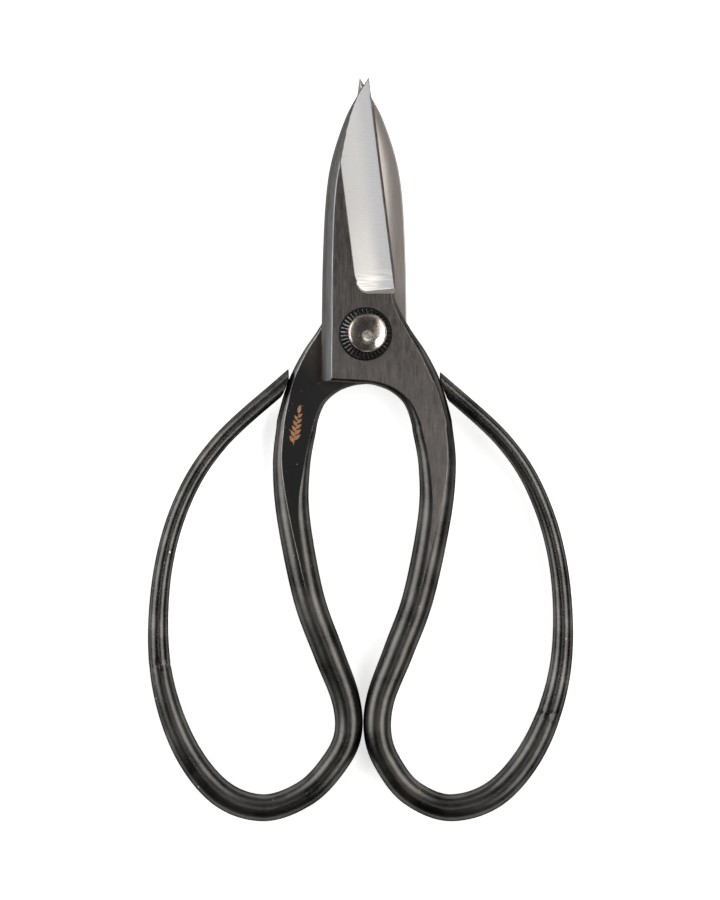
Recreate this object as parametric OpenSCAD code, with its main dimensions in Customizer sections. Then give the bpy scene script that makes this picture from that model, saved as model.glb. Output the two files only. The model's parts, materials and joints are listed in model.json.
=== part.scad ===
// Floral snips: two forged halves crossed on one rivet, each bent round into a closed finger loop.
// Millimetres. Origin at the pivot axis on the rivet tail's flat; +Y towards the tips; +Z up to the front half.

/* [Blades] */
// Distance from the pivot to the blade tips
tip_y = 65.7; // [60:0.05:72]
// How far each tip passes the centre line when the handles meet
tip_cross = 1.2; // [0.6:0.05:1.6]
// Distance from the pivot up to the heel of the cutting edge
heel_y = 11.2; // [10.5:0.1:12.5]
// Distance of the heel from the centre line
heel_x = 8.05; // [7.6:0.05:8.6]
// Thickness of the blade along its cutting edge
edge_land = 0.2; // [0.1:0.05:0.4]
// Width of the ground bevel, square to the cutting edge
bevel_w = 10; // [8:0.1:10.4]
// Radius of the bevel's inner corner at the heel
bevel_corner = 3; // [1:0.5:4]
// Width of the chamfer along the spine of the blade
spine_chamfer = 2.4; // [1.5:0.1:3]

/* [Hub] */
// Height of each half's outer face above the plane between the halves
hub_t = 4; // [3.2:0.1:4.5]
// Distance of each inner face from the plane between the halves
hub_gap = 0.05; // [0.03:0.01:0.15]
// Radius of the bore through each half
bore_r = 3.05; // [3.02:0.01:3.1]
// Distance of the spine from the pivot at the foot of the hub
hub_half_w = 11.05; // [10.6:0.05:11.5]
// Radius of the hub's lower corner beside the spine
hub_corner = 1.3; // [0.5:0.1:2]

/* [Handles] */
// Rounding of the shank's edges where it leaves the hub
shank_edge = 0.8; // [0.4:0.1:1.5]
// How far the loops lean to one side: 1 for hand bending, 0 for a symmetric pair
hand_lean = 1; // [0:0.1:1]
// Clearance between the ground end of the loop and its shank
loop_gap = 0.3; // [0.1:0.05:0.5]
// Weld of the front loop, counted in stations along the handle
front_weld = 12.4; // [12:0.2:13]
// Weld of the back loop, counted in stations along the handle
back_weld = 13; // [12:0.2:13]

/* [Rivet and washers] */
// Radius of the rivet's shank
rivet_r = 3; // [2.9:0.01:3]
// Radius of the rivet's domed head
head_r = 4.8; // [4.2:0.1:5.2]
// Height of the rivet's domed head
head_h = 2.2; // [1.6:0.1:2.8]
// Height taken off the dome by peening the tail flat
tail_flat = 0.3; // [0.1:0.05:0.6]
// Radius of the fluted washers
washer_r = 6.8; // [6:0.1:7.5]
// Height of the fluted washers at the rivet
washer_h = 1.1; // [0.8:0.1:1.6]
// Height of the fluted washers at the rim
washer_rim = 0.45; // [0.3:0.05:0.6]
// Number of flutes round a washer
flutes = 36; // [24:1:48]
// Width of one flute
flute_w = 0.5; // [0.3:0.05:0.6]

/* [Hidden] */

$fn = 64;
STEPS = 5;     // rings of the handle between two stations
CORNER = 4;    // facets on each rounded corner of the handle's section
FAR = 100;     // longer than anything that a cutter has to pass
ROOT = 5;      // the hub's plate ends half a ring past this ring of the handle
OVERLAP = 0.08; // how far the shank's root sits inside the hub
ARC = 5;       // chords of the hub's rounded lower corner
HUB_FOOT = -11; // where the straight side of the hub ends and that corner starts

front_gap = hub_gap;                          // clearance under the front washer, over the moving half
mid_z = hub_t + washer_h + head_h - tail_flat; // height of the plane between the halves
edge_lean = atan2(heel_x - tip_cross, tip_y - heel_y);
bevel_angle = atan2(hub_t - edge_land, bevel_w);

steel = "#d2d0cd";
ground = "#55504c";
black = "#262525";
worn = "#8c8078";

// Handle stations from the shank round the loop and back to the shank:
// x, y, width, share of the hand lean in mm, roundness (0 flat-faced shank, 1 round rod)
handle = [
    [16.4, -19.5, 10.7, 0, 0],
    [17.5, -24.5, 10.3, 0, 0.04],
    [18.7, -34, 9.6, 0, 0.2],
    [18.1, -47, 8.5, 0.1, 0.65],
    [14.1, -67.3, 8, 0.2, 1],
    [9, -81.5, 7.8, 0.25, 1],
    [4.5, -93.5, 7.3, 0.3, 1],
    [3.8, -102.5, 7.1, 0.35, 1],
    [6.8, -110, 6.9, 0.8, 1],
    [13.6, -117.7, 6.8, 1.4, 1],
    [24.2, -121.5, 6.9, 1.8, 1],
    [35.9, -117.2, 7, 1.5, 1],
    [45.7, -104.1, 6.6, 1.2, 1],
    [51.3, -85.2, 5.6, 1, 1],
    [51.1, -63, 4.8, 0.85, 1],
    [46.1, -43.6, 4.5, 0.7, 1],
    [36.4, -27.7, 4.3, 0.5, 1],
    [17.4, -10.4, 4.2, 0.4, 1]
];

// Spine of a blade from the hub's lower corner up to the tip
spine = [
    [-hub_half_w, HUB_FOOT], [-10.86, 3.4], [-10.6, 18.7], [-9.84, 34.1],
    [-8.3, 44.35], [-4.95, 54.6], [-tip_cross - 0.75, 60.5], [tip_cross, tip_y]
];

// Outer side of the hub from the heel down to the shank
hub_side = [[7.6, 9.6], [8.9, 6.1], [12, 0.8], [15.5, -4.3], [18.5, -9.8], [20.4, -14.7]];

// Underside of the hub from the shank round to its lower corner
crotch = [
    [10.9, -19.4], [9.4, -17], [6.5, -14.7], [3.2, -13.4], [0, -12.9],
    [-hub_half_w + hub_corner, HUB_FOOT - hub_corner]
];

// Catmull-Rom curve through a list of points of any length, with n steps between two of them
function spline(p, n) = [
    for (i = [0 : len(p) - 2], k = [0 : n - 1]) spline_at(p, i, k / n), p[len(p) - 1]
];
function spline_at(p, i, t) =
    let (last = len(p) - 1,
         b = p[i],
         c = p[i + 1],
         a = i > 0 ? p[i - 1] : 2 * b - c,
         d = i + 1 < last ? p[i + 2] : 2 * c - b)
    0.5 * (2 * b + (c - a) * t + (2 * a - 5 * b + 4 * c - d) * t * t + (3 * b - a - 3 * c + d) * t * t * t);

// One half's stations: the hand lean moves them by side = -1 (front) or 1 (back)
function leaned(side) = [for (s = handle) [s[0] + side * hand_lean * s[3], s[1], s[2], s[4]]];

// Unit tangent of a list of rings at ring i
function tangent(r, i) =
    let (a = r[max(i - 1, 0)], b = r[min(i + 1, len(r) - 1)], d = [b[0] - a[0], b[1] - a[1]]) d / norm(d);

// Point on the side of ring i: side = 1 left of the path, -1 right of it, out mm beyond its width
function flank(r, i, side, out) =
    let (t = tangent(r, i)) [r[i][0], r[i][1]] + side * (r[i][2] / 2 + out) * [-t[1], t[0]];

// Rounded section of width w between heights lo and hi: points [across, up]
function section(w, lo, hi, rad) =
    let (r = min(rad, w / 2 - 0.01, (hi - lo) / 2 - 0.01))
    [for (q = [0 : 3], k = [0 : CORNER])
        let (a = 90 * (q + k / CORNER),
             cx = (q == 0 || q == 3 ? 1 : -1) * (w / 2 - r),
             cz = q < 2 ? hi - r : lo + r)
        [cx + r * cos(a), cz + r * sin(a)]];

// Section of the handle at one ring, from flat-faced shank to round rod
function handle_section(s) =
    let (round = max(0, min(1, s[3])),
         w = s[2],
         lo = (hub_gap + OVERLAP) * (1 - round) - w / 2 * round,
         hi = (hub_t - OVERLAP) * (1 - round) + w / 2 * round)
    section(w, lo, hi, shank_edge * (1 - round) + w / 2 * round);

// Solid swept through rings first..last of a handle
module sweep(rings, first, last) {
    sides = 4 * (CORNER + 1);
    points = [for (i = [first : last], p = handle_section(rings[i]))
        let (t = tangent(rings, i)) [rings[i][0] + p[0] * t[1], rings[i][1] - p[0] * t[0], p[1]]];
    n = last - first;
    walls = [for (i = [0 : n - 1], k = [0 : sides - 1])
        let (a = i * sides + k, b = i * sides + (k + 1) % sides)
        each [[a, b, a + sides], [b, b + sides, a + sides]]];
    ends = [[for (k = [sides - 1 : -1 : 0]) k], [for (k = [0 : sides - 1]) n * sides + k]];
    polyhedron(points, concat(walls, ends));
}

// Point on the side of the shank halfway between ring i and the next, OVERLAP outside it
function root_flank(r, i, side) = (flank(r, i, side, OVERLAP) + flank(r, i + 1, side, OVERLAP)) / 2;

// Outline of the blade, the hub and the root of the shank
module plate_outline(rings) {
    right = concat([[heel_x, heel_y]],
        spline(concat(hub_side, [root_flank(rings, ROOT - 3, 1), root_flank(rings, ROOT, 1)]), 4));
    left = spline(concat([root_flank(rings, ROOT, -1), root_flank(rings, ROOT - 3, -1)], crotch), 4);
    corner = [for (k = [1 : ARC - 1]) let (a = 270 - 90 * k / ARC)
        [-hub_half_w + hub_corner + hub_corner * cos(a), HUB_FOOT + hub_corner * sin(a)]];
    polygon(concat(right, left, corner, spline(spine, 4)));
}

// Removes the metal over the bevel: a plane ramp up from the cutting edge, with a rounded corner at the heel
module bevel_cutter() {
    reach = (bevel_w + 0.3) / cos(bevel_angle);
    past = 6; // how far the cutter runs on beyond the cutting edge
    translate([heel_x, heel_y, edge_land])
        rotate([0, 0, edge_lean])
            rotate([0, bevel_angle, 0])
                linear_extrude(2 * hub_t)
                    union() {
                        translate([-reach, bevel_corner]) square([reach + past, FAR]);
                        translate([bevel_corner - reach, 0]) square([reach + past - bevel_corner, FAR]);
                        translate([bevel_corner - reach, bevel_corner]) circle(bevel_corner);
                    }
}

// Removes the 45 degree chamfer along the spine
module spine_cutter() {
    below = [-hub_half_w, HUB_FOOT - 9]; // the cutter runs on past both ends of the spine
    beyond = [tip_cross + 2, tip_y + 4];
    line = spline(concat([below], spine, [beyond]), 4);
    path = [for (i = [0 : len(line) - 2]) (line[i] + line[i + 1]) / 2]; // between the outline's corners
    over = 1; // how far the cutter stands clear of the metal
    reach = spine_chamfer + over;
    points = [for (i = [0 : len(path) - 1])
        let (t = tangent(path, i), n = [t[1], -t[0]])
        each [
            [path[i][0] - over * n[0], path[i][1] - over * n[1], hub_t - spine_chamfer - over],
            [path[i][0] - over * n[0], path[i][1] - over * n[1], hub_t + over],
            [path[i][0] + reach * n[0], path[i][1] + reach * n[1], hub_t + over]
        ]];
    m = len(path) - 1;
    walls = [for (i = [0 : m - 1], k = [0 : 2])
        let (a = 3 * i + k, b = 3 * i + (k + 1) % 3)
        each [[a, a + 3, b], [b, a + 3, b + 3]]];
    polyhedron(points, concat(walls, [[0, 1, 2], [3 * m + 2, 3 * m + 1, 3 * m]]));
}

// One forging: blade, hub, shank and handle as far as the weld, its inner face towards -Z
module forging(side, weld) {
    rings = spline(leaned(side), STEPS);
    union() {
        difference() {
            translate([0, 0, hub_gap]) linear_extrude(hub_t - hub_gap) plate_outline(rings);
            bevel_cutter();
            spine_cutter();
            translate([0, 0, -1]) cylinder(h = hub_t + 2, r = bore_r);
        }
        sweep(rings, ROOT - 1, round(weld * STEPS));
    }
}

// The rest of the loop, welded on, with its end ground to lie along the shank
module loop_rod(side, weld) {
    rings = spline(leaned(side), STEPS);
    shank = hub_side[4];
    run = hub_side[5] - shank;
    difference() {
        sweep(rings, round(weld * STEPS), len(rings) - 1);
        translate([shank[0], shank[1], -FAR / 2])
            rotate([0, 0, atan2(run[1], run[0])])
                translate([-FAR / 2, loop_gap - FAR, 0]) cube(FAR);
    }
}

// Places a half: the front one as drawn, the back one turned over about the long axis
module in_front() { translate([0, 0, mid_z]) children(); }
module in_back() { translate([0, 0, mid_z]) rotate([0, 180, 0]) children(); }

// Low cone with flutes pressed round its upper face, resting on z = 0
module fluted_washer() {
    slope = atan2(washer_h - washer_rim, washer_r - head_r);
    difference() {
        rotate_extrude() polygon([
            [bore_r, 0], [washer_r, 0], [washer_r, washer_rim], [head_r, washer_h], [bore_r, washer_h]
        ]);
        for (i = [0 : flutes - 1])
            rotate([0, 0, 360 * i / flutes])
                translate([washer_r, 0, washer_rim])
                    rotate([0, slope - 90, 0])
                        rotate([0, 0, 45])
                            cube([flute_w / sqrt(2), flute_w / sqrt(2), 2 * (washer_r - head_r)], center = true);
    }
}

// Spherical cap of the rivet's head, standing on z = 0
module dome(cut) {
    ball_r = (head_r * head_r + head_h * head_h) / (2 * head_h);
    intersection() {
        translate([0, 0, head_h - ball_r]) sphere(ball_r);
        cylinder(h = head_h - cut, r = head_r + 1);
    }
}

module front_blade() { color(ground) in_front() forging(-1, front_weld); }
module back_blade() { color(steel) in_back() forging(1, back_weld); }
module front_handle_rod() { color(black) in_front() loop_rod(-1, front_weld); }
module back_handle_rod() { color(black) in_back() loop_rod(1, back_weld); }
module front_washer() { color(black) in_front() translate([0, 0, hub_t + front_gap]) fluted_washer(); }
module back_washer() { color(black) in_back() translate([0, 0, hub_t]) fluted_washer(); }

module pivot_rivet() {
    top = mid_z + hub_t + front_gap + washer_h;
    bottom = mid_z - hub_t - washer_h;
    color(worn) union() {
        translate([0, 0, bottom]) cylinder(h = top - bottom, r = rivet_r);
        translate([0, 0, top]) dome(0);
        translate([0, 0, bottom]) mirror([0, 0, 1]) dome(tail_flat);
    }
}

front_blade();
front_handle_rod();
back_blade();
back_handle_rod();
pivot_rivet();
front_washer();
back_washer();
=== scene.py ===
# Floral snips: the visible pieces, their materials and a soft studio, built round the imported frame.
# Lengths inside this script are in millimetres and are turned into metres where a mesh is made.
import bpy
import json
import math
import numpy as np
from mathutils import Matrix, Vector, noise
from mathutils.geometry import delaunay_2d_cdt

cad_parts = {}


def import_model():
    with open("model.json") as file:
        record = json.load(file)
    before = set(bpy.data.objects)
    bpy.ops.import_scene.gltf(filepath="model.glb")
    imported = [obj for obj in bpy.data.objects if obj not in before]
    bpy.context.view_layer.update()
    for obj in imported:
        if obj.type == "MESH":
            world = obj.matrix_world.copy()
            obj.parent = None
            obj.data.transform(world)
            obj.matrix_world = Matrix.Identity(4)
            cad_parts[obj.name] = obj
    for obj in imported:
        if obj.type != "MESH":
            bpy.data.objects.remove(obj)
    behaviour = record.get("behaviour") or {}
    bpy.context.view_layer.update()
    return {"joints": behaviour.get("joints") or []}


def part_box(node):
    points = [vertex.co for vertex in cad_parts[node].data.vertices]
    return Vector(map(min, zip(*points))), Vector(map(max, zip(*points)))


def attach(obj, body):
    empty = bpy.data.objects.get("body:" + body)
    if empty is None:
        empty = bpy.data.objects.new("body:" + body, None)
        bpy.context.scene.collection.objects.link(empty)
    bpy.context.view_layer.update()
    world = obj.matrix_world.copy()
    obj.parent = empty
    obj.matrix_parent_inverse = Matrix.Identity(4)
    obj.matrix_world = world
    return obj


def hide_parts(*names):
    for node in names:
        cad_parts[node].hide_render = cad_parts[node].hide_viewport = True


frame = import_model()

MM = 0.001
PIVOT = frame["joints"][0]["pos_m"]
MID_Z = PIVOT[2] / MM  # height of the plane between the halves
HUB_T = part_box("front_washer")[0][2] / MM - MID_Z - 0.05  # outer face of a half above that plane
HUB_GAP = 0.05  # inner face of a half above that plane
LOOP_GAP = 0.06  # clearance of a loop's ground end from its shank
LOOP_TIP_X = 19.3  # where that end's sharp tip is ground off
TIP = np.array([1.2, 65.7])
HEEL = np.array([8.05, 11.2])
EDGE_LAND = 0.2
BEVEL_W = 10.0
BEVEL_CORNER = 3.0
BEVEL_CROWN = 0.16  # how far the bevel bulges, as a share of its slope
PLUNGE_SLOPE = 3.2  # steepness of the wall at the heel end of the bevel
PLUNGE_BLEND = 0.45  # reach of the fillet at the foot of that wall
CHAMFER_W = (2.8, 2.4)  # width of the spine chamfer at the hub and on the blade
CHAMFER_DROP = 2.35
CHAMFER_ROUND = 0.26  # share of its fall that is curved
CHAMFER_TAPER = 34  # y at which it has narrowed to its width on the blade
HUB_HALF_W = 11.05
HUB_CORNER = 1.3
HUB_FOOT_Y = -11  # centre of the rounding at that corner
SPINE_EDGE = 0.3  # rounding of the spine's inner edge
INNER_SHARE = 0.4  # most of the plate's thickness that such roundings take
ROOT_LEAD = 2.5  # straight run of the shank's edges before the handle

FRONT, BACK = -1, 1  # sides: the half on top, and the same half turned over beneath it
UP = np.array([0, 0, 1.0])

# The long edges are arcs that the flats cut off at a crease: radius, and tilt of the arc at the crease.
# Outer face on the hub side and the crotch side, then inner face on the crotch side and the hub side.
EDGE_ARCS = {FRONT: [(3.5, 29), (2.7, 6), (0.7, 0), (0.7, 0)],
             BACK: [(0.8, 0), (0.8, 0), (2.2, 30), (2.9, 20)]}
# Share of those radii that the plate's edges have at heights EDGE_Y, on the hub side and round the crotch
EDGE_Y = [-24, -17, -12, -7, 0, 10]
HUB_SHARE = {FRONT: [1, 1.05, 1.1, 1, 0.62, 0.34], BACK: [1, 0.85, 0.62, 0.5, 0.28, 0.2]}
CROTCH_SHARE = [1, 0.65, 0.38, 0.36, 0.36, 0.36]
CREASE = 0.2  # half width of the soft line along a ground crease
CREASE_DEPTH = 0.05
TOUCH = 1e-4  # least height lost that counts as rounded off

# Handle stations from the shank round the loop and back to the shank, as in the design:
# x, y, width, share of the hand lean, roundness (0 flat-faced shank, 1 round rod)
HANDLE = np.array([
    [16.4, -19.5, 10.7, 0, 0],
    [17.5, -24.5, 10.3, 0, 0.04],
    [18.7, -34, 9.6, 0, 0.2],
    [18.1, -47, 8.5, 0.1, 0.65],
    [14.1, -67.3, 8, 0.2, 1],
    [9, -81.5, 7.8, 0.25, 1],
    [4.5, -93.5, 7.3, 0.3, 1],
    [3.8, -102.5, 7.1, 0.35, 1],
    [6.8, -110, 6.9, 0.8, 1],
    [13.6, -117.7, 6.8, 1.4, 1],
    [24.2, -121.5, 6.9, 1.8, 1],
    [35.9, -117.2, 7, 1.5, 1],
    [45.7, -104.1, 6.6, 1.2, 1],
    [51.3, -85.2, 5.6, 1, 1],
    [51.1, -63, 4.8, 0.85, 1],
    [46.1, -43.6, 4.5, 0.7, 1],
    [36.4, -27.7, 4.3, 0.5, 1],
    [17.4, -10.4, 4.2, 0.4, 1],
])
SPINE = np.array([
    [-HUB_HALF_W, HUB_FOOT_Y], [-10.86, 3.4], [-10.6, 18.7], [-9.84, 34.1],
    [-8.3, 44.35], [-4.95, 54.6], [-1.95, 60.5], TIP,
])
HUB_SIDE = np.array([[7.6, 9.6], [8.9, 6.1], [12, 0.8], [15.5, -4.3], [18.5, -9.8], [20.4, -14.7]])
CROTCH = np.array([[10.9, -19.4], [9.4, -17], [6.5, -14.7], [3.2, -13.4], [0, -12.9], [-9.75, -12.3]])
ROOT_STATION = 1  # where the plate meets the swept handle
RING_STEPS = 26  # rings between two stations
CORNER_STEPS = 10  # facets on each rounded corner of a section
WELD = {FRONT: 12.4, BACK: 13.0}  # weld of each loop, counted in stations
WELD_GROOVE = 0.06  # depth of the seam where rod and forging are welded
WELD_PIT = 0.35  # and of the pits beside it
WELD_REACH = 6  # rings on either side that they touch


# ---------------------------------------------------------------- curves

def spline(points, steps):
    """Catmull-Rom curve through the points, with that many steps between two of them."""
    p = np.vstack([2 * points[0] - points[1], points, 2 * points[-1] - points[-2]])
    t = (np.arange(steps) / steps)[:, None]
    out = []
    for i in range(len(points) - 1):
        a, b, c, d = p[i:i + 4]
        out.append(0.5 * (2 * b + (c - a) * t + (2 * a - 5 * b + 4 * c - d) * t ** 2
                          + (3 * b - a - 3 * c + d) * t ** 3))
    return np.vstack(out + [points[-1:]])


def tangents(line):
    """Unit tangents of a polyline's first two coordinates."""
    t = np.gradient(line[:, :2], axis=0)
    return t / np.linalg.norm(t, axis=1)[:, None]


def offset(line, distance):
    """The polyline moved to its right by that distance, a number or one for each point."""
    t = tangents(line)
    return line[:, :2] + np.c_[t[:, 1], -t[:, 0]] * np.reshape(distance, (-1, 1))


def distance_to(line, p):
    """Distance of each point from a polyline."""
    best = np.full(len(p), 1e9)
    for a, b in zip(line[:-1], line[1:]):
        ab = b - a
        s = np.clip(((p - a) @ ab) / (ab @ ab), 0, 1)
        best = np.minimum(best, np.linalg.norm(p - a - s[:, None] * ab, axis=1))
    return best


def inside(loop, p):
    """Which points lie inside a closed outline."""
    hit = np.zeros(len(p), bool)
    for a, b in zip(loop, np.roll(loop, -1, axis=0)):
        if a[1] == b[1]:
            continue
        cross = ((a[1] > p[:, 1]) != (b[1] > p[:, 1]))
        x = (b[0] - a[0]) * (p[:, 1] - a[1]) / (b[1] - a[1]) + a[0]
        hit ^= cross & (p[:, 0] < x)
    return hit


def soft_min(a, b, reach):
    """The lower of two heights, rounded where they come within reach of each other."""
    h = np.maximum(reach - np.abs(a - b), 0) / reach
    return np.minimum(a, b) - h * h * reach / 4


# ---------------------------------------------------------------- meshes

def unit(vectors):
    """Vectors scaled to length 1 along their last axis."""
    return vectors / np.maximum(np.linalg.norm(vectors, axis=-1, keepdims=True), 1e-12)


def show(name, data):
    """Puts a mesh, lamp or camera into the scene."""
    obj = bpy.data.objects.new(name, data)
    bpy.context.scene.collection.objects.link(obj)
    return obj


def spun(points, angle):
    """Flat points turned round the origin."""
    c, s = math.cos(angle), math.sin(angle)
    return points @ np.array([[c, -s], [s, c]]).T


class Patches:
    """Vertices, faces, corner normals and material numbers of one piece, collected patch by patch."""

    def __init__(self):
        self.verts, self.faces, self.normals, self.mats = [], [], [], []

    def add(self, points):
        """Adds points and returns their numbers."""
        start = len(self.verts)
        self.verts.extend(points)
        return list(range(start, len(self.verts)))

    def face(self, corners, normals, mat):
        """Adds a face, with one normal for each corner and its material's number."""
        self.faces.append(corners)
        self.normals.append(normals)
        self.mats.append(mat)

    def strip(self, ids, grid, mat, normals=None, end=None):
        """A closed band over rings of points; its outside is where ring direction x travel points.

        ids are the first ring's numbers and end the last one's, if it is there already; mat is one number
        or one for each column. Returns the last ring's numbers."""
        if normals is None:
            around = np.roll(grid, -1, axis=1) - np.roll(grid, 1, axis=1)
            normals = unit(np.cross(around, np.gradient(grid, axis=0)))
        columns = grid.shape[1]
        for i in range(1, len(grid)):
            last = end is not None and i == len(grid) - 1
            new = end if last else self.add(grid[i].tolist())
            for j in range(columns):
                k = (j + 1) % columns
                self.face([ids[j], ids[k], new[k], new[j]],
                          [normals[i - 1][j], normals[i - 1][k], normals[i][k], normals[i][j]],
                          mat if isinstance(mat, int) else mat[i - 1][j])
            ids = new
        return ids

    def fan(self, ids, centre, normal, mat):
        """Closes a ring that runs anticlockwise, seen from outside, round a centre point."""
        middle = self.add([list(centre)])[0]
        for j, a in enumerate(ids):
            b = ids[(j + 1) % len(ids)]
            self.face([a, b, middle], [normal] * 3, mat)

    def build(self, name, materials, place):
        """The finished object, put in place in millimetres and scaled to metres."""
        mesh = bpy.data.meshes.new(name)
        points = [place @ Vector(v) for v in self.verts]
        mesh.from_pydata([p * MM for p in points], [], self.faces)
        for m in materials:
            mesh.materials.append(m)
        mesh.polygons.foreach_set("material_index", self.mats)
        mesh.polygons.foreach_set("use_smooth", [True] * len(self.faces))
        turn = place.to_3x3()
        flat = [(turn @ Vector(n)).normalized() for face in self.normals for n in face]
        mesh.normals_split_custom_set(flat)
        mesh.update()
        return show(name, mesh)


def placed(side):
    """Where a half's own frame goes: the front one as drawn, the back one turned over about Y."""
    turn = Matrix.Identity(4) if side == FRONT else Matrix.Rotation(math.pi, 4, "Y")
    return Matrix.Translation((0, 0, MID_Z)) @ turn


# ---------------------------------------------------------------- heights of the plate's faces

EDGE_RUN = (TIP - HEEL) / np.linalg.norm(TIP - HEEL)
EDGE_IN = np.array([-EDGE_RUN[1], EDGE_RUN[0]])  # from the cutting edge into the blade
SPINE_LINE = spline(SPINE, 14)
SPINE_RULE = np.vstack([[-HUB_HALF_W, -20], SPINE_LINE, TIP + (TIP - SPINE[-2])])


def edge_frame(p):
    """Distance in from the cutting edge, and along it from the heel."""
    return (p - HEEL) @ EDGE_IN, (p - HEEL) @ EDGE_RUN


def bevel_floor(u):
    """Height of the polished bevel at a distance in from the cutting edge, slightly crowned."""
    t = u / BEVEL_W
    return EDGE_LAND + (HUB_T - EDGE_LAND) * (t + BEVEL_CROWN * t * (1 - t))


def bevel_height(p):
    """Height of the bevel and of the wall at its heel end."""
    u, v = edge_frame(p)
    over = np.maximum(u - (BEVEL_W - BEVEL_CORNER), 0)
    under = np.maximum(BEVEL_CORNER - v, 0)
    out = np.hypot(over, under) - BEVEL_CORNER
    corner = (over > 0) & (under > 0)
    past = np.where(corner, out, -v)
    rise = np.where(past > PLUNGE_BLEND, past,
                    np.where(past < -PLUNGE_BLEND, 0, (past + PLUNGE_BLEND) ** 2 / (4 * PLUNGE_BLEND)))
    return bevel_floor(u) + PLUNGE_SLOPE * rise


def chamfer_width(p):
    """Width of the spine chamfer, which narrows from the hub up the blade."""
    wide, narrow = CHAMFER_W
    return wide + (narrow - wide) * np.clip(p[:, 1] / CHAMFER_TAPER, 0, 1)


def chamfer_height(p):
    """Height of the rounded chamfer along the spine."""
    q = 1 - distance_to(SPINE_RULE, p) / chamfer_width(p)
    return HUB_T - CHAMFER_DROP * ((1 - CHAMFER_ROUND) * q + CHAMFER_ROUND * q * np.abs(q))


class Edge:
    """A rounded edge of the plate: a line, its radius and the tilt at which the flat cuts it off."""

    def __init__(self, line, arc, share):
        self.line, self.radius, self.share = line, arc[0], share
        self.cut = math.radians(arc[1])

    def radius_at(self, p):
        """Radius of the rounding beside each point."""
        return self.radius * np.interp(p[:, 1], EDGE_Y, self.share)

    def lost(self, p):
        """Height lost to the rounding."""
        r = self.radius_at(p)
        across = np.clip((r - distance_to(self.line, p)) / r, math.sin(self.cut), 1)
        return r * (math.cos(self.cut) - np.sqrt(1 - across * across))

    def lines(self, steps):
        """Lines down the arc at equal turns, and one on the flat beside the crease."""
        r = self.radius_at(self.line)
        turns = np.linspace(self.cut, math.pi / 2, steps + 1)[:-1]
        down = [offset(self.line, r * (1 - math.sin(a))) for a in turns]
        return down + [offset(self.line, r * (1 - math.sin(self.cut)) + CREASE)]


def deepest(edges, p):
    """Height lost to whichever edge takes the most."""
    return np.max([edge.lost(p) for edge in edges], axis=0)


class Plate:
    """Outline and faces of one half's blade and hub, in the half's own frame."""

    def __init__(self, side):
        rings = leaned(side)
        self.root = rings[ROOT_STATION * RING_STEPS]
        self.run = tangents(rings)[ROOT_STATION * RING_STEPS]
        right, left = self.flank(1), self.flank(-1)
        near = self.run * ROOT_LEAD
        self.hub_line = spline(np.vstack([HEEL, HUB_SIDE, right - near, right]), 9)
        crotch = np.vstack([left, left - near, CROTCH[:-1]])
        turn = np.radians(270 - np.arange(0, 91, 9))
        centre = np.array([HUB_CORNER - HUB_HALF_W, HUB_FOOT_Y])
        corner = centre + HUB_CORNER * np.c_[np.cos(turn), np.sin(turn)]
        self.crotch_line = np.vstack([spline(np.vstack([crotch, CROTCH[-1]]), 9)[:-1], corner])
        arcs = EDGE_ARCS[side]
        hub, crotch = (self.hub_line, HUB_SHARE[side]), (self.crotch_line, CROTCH_SHARE)
        spine = Edge(SPINE_LINE, (SPINE_EDGE, 0), [1] * len(EDGE_Y))
        self.outer_edges = [Edge(line, arc, share) for (line, share), arc in zip((hub, crotch), arcs)]
        self.inner_edges = [Edge(line, arc, share) for (line, share), arc in zip((crotch, hub), arcs[2:])]
        self.inner_edges.append(spine)

    def flank(self, hand):
        """End of the root line: hand 1 is the outer side of the shank, -1 the crotch's."""
        across = np.array([-self.run[1], self.run[0]])
        return self.root[:2] + hand * across * self.root[2] / 2

    def outer(self, p):
        """Height of the outer face."""
        z = soft_min(np.full(len(p), HUB_T), bevel_height(p), CREASE_DEPTH)
        z = soft_min(z, chamfer_height(p), CREASE_DEPTH)
        return np.minimum(z, HUB_T - deepest(self.outer_edges, p))

    def inner(self, p):
        """Height of the inner face, kept under the outer one along the cutting edge."""
        return HUB_GAP + np.minimum(deepest(self.inner_edges, p), INNER_SHARE * (self.outer(p) - HUB_GAP))


# ---------------------------------------------------------------- the handle's section and path

def leaned(side):
    """Dense rings of one half's handle: x, y, width, roundness."""
    x = HANDLE[:, 0] + side * HANDLE[:, 3]
    rings = spline(np.c_[x, HANDLE[:, [1, 2, 4]]], RING_STEPS)
    start = HANDLE[ROOT_STATION, 4]
    rings[:, 3] = np.clip((rings[:, 3] - start) / (1 - start), 0, 1)
    return rings


def section(width, roundness, arcs):
    """Rounded section of the handle: rows of across, up, and the normal's across and up."""
    half, flat = width / 2, 1 - roundness
    low = HUB_GAP * flat - half * roundness
    high = HUB_T * flat + half * roundness
    corners = []
    for quarter, (radius, tilt) in enumerate(arcs):
        cut = math.radians(tilt * flat)
        r = min(radius * flat + half * roundness, (half - 0.02) / (1 - 0.5 * math.sin(cut)))
        sign = 1 if quarter in (0, 3) else -1
        turns = np.linspace(math.pi / 2, cut, CORNER_STEPS + 1) if quarter in (0, 2) else \
            np.linspace(cut, math.pi / 2, CORNER_STEPS + 1)
        level = 1 if quarter < 2 else -1
        face = high if quarter < 2 else low
        sine, cosine = np.sin(turns), np.cos(turns)
        corners.append(np.c_[sign * (half - r + r * sine), face - level * r * (math.cos(cut) - cosine),
                             sign * sine, level * cosine])
    rows = []
    for first, second, level in ((corners[0], corners[1], 1), (corners[2], corners[3], -1)):
        left, right, face = first[-1, 0], second[0, 0], first[-1, 1]
        crease = (right - left) * min(0.25, CREASE / abs(right - left))
        rows += [first, [[left + crease, face, 0, level], [right - crease, face, 0, level]], second]
    return np.vstack(rows)


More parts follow.
